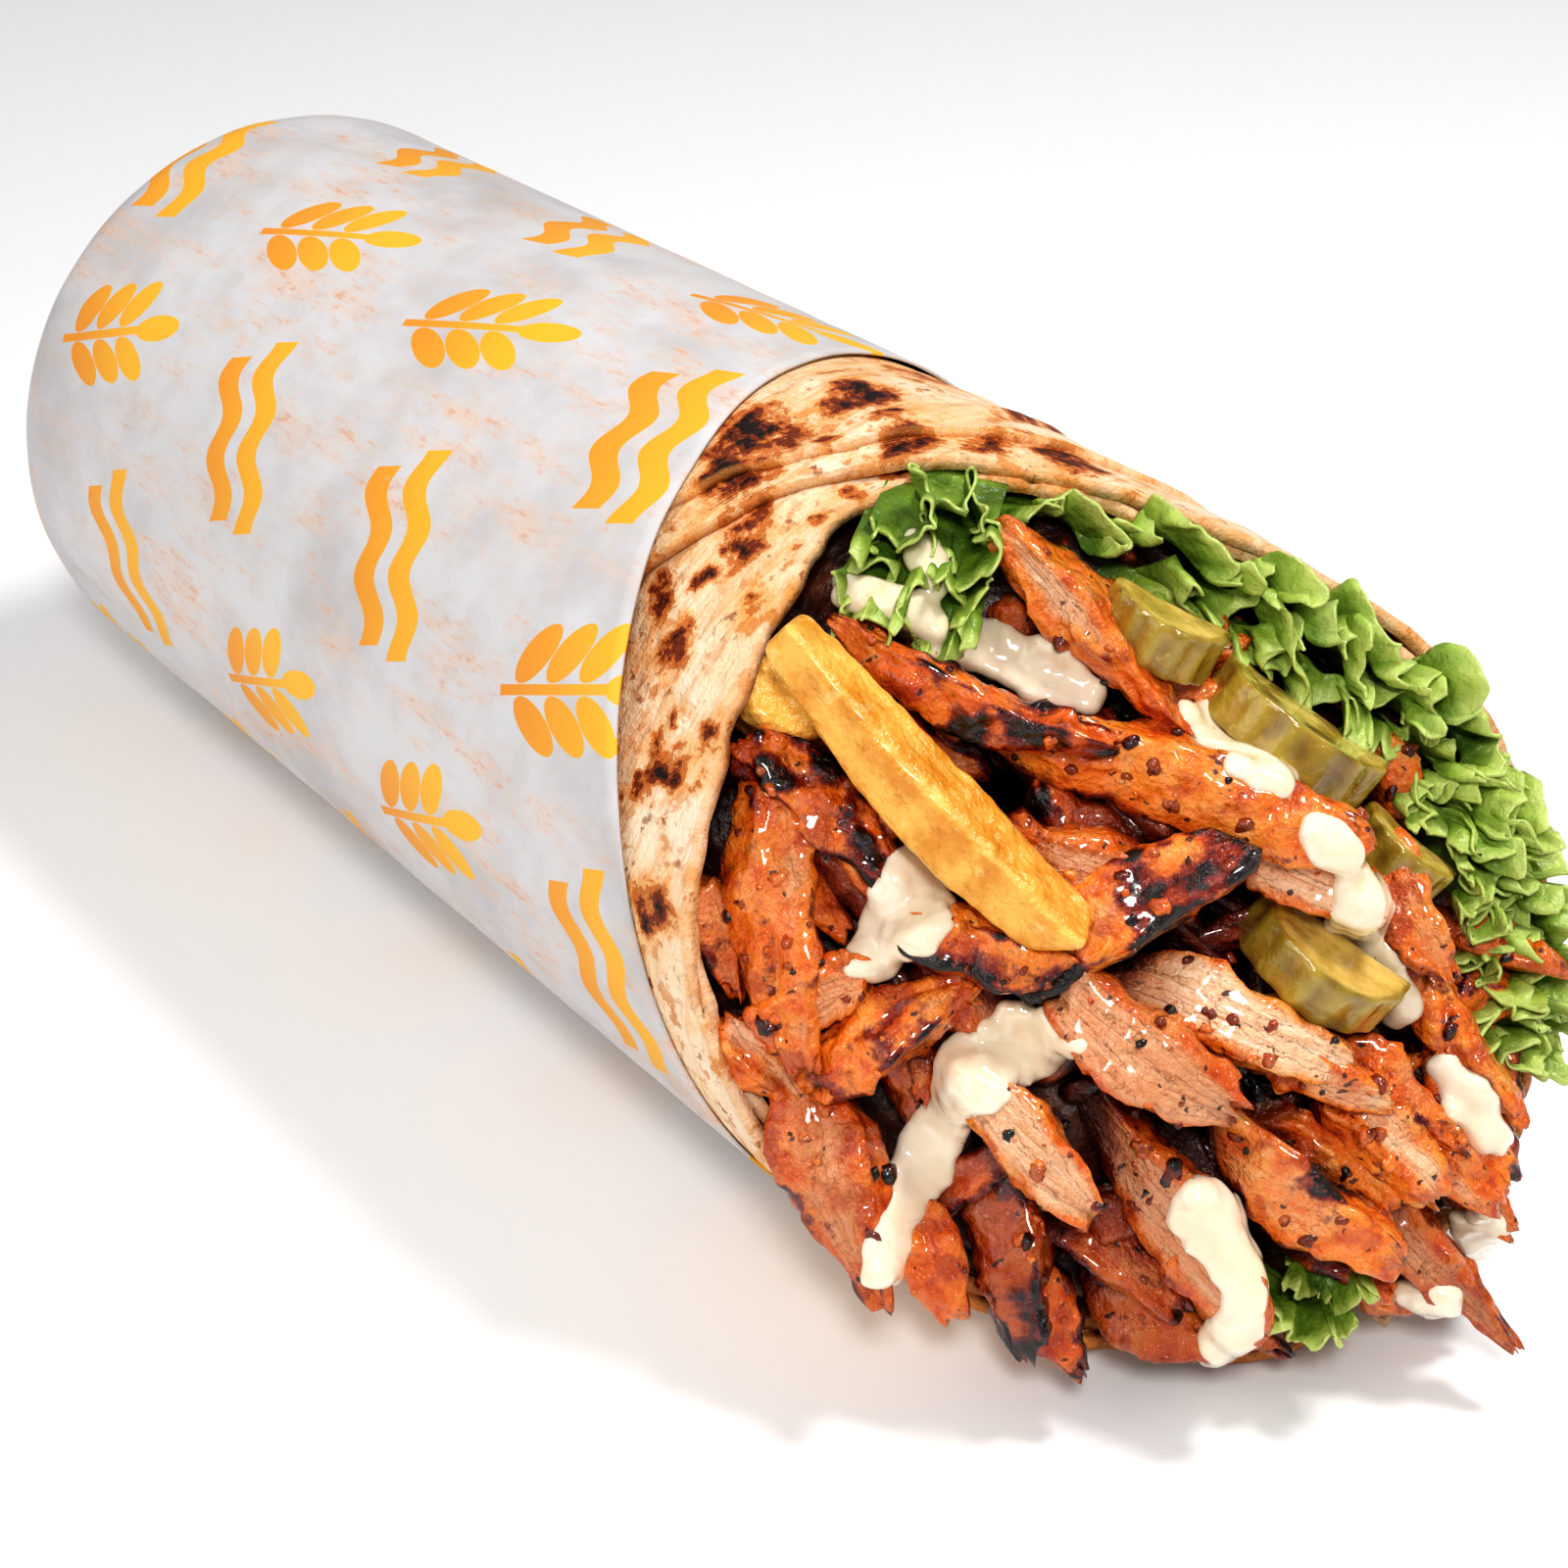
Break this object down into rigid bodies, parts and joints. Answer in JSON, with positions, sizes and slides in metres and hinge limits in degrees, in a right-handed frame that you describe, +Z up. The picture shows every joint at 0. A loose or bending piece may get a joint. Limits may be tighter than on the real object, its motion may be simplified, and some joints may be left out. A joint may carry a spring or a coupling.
{
  "type": "gyro wrap",
  "caption": "Chicken gyro wrap lying on its side: rolled flatbread in a paper sleeve, its open end heaped with grilled chicken, fries, pickles, curly lettuce and white sauce.",
  "frame": {"origin": "under the middle of the wrap's bounding box, on the surface that it lies on", "axes": "+X along the roll from the closed end to the open end, +Z up, and the open end slants up towards -Y"},
  "size_m": [0.1852, 0.0722, 0.0724],
  "materials": {
    "paper": "thin greaseproof paper with a printed pattern",
    "bread": "dry baked flatbread with toasted spots",
    "chicken": "grilled chicken slices, moist, with white sauce",
    "fry": "fried potato, slightly oily",
    "pickle": "wet pickled cucumber",
    "lettuce": "fresh waxy leaf"
  },
  "bodies": {
    "root": {"paper": "paper", "bread": "bread", "filling": "chicken", "fry_long": "fry", "fry_short": "fry", "pickle_1": "pickle", "pickle_2": "pickle", "pickle_3": "pickle", "pickle_4": "pickle", "lettuce_front": "lettuce", "lettuce_bottom": "lettuce", "lettuce_top": "lettuce", "lettuce_far": "lettuce"}
  },
  "joints": []
}
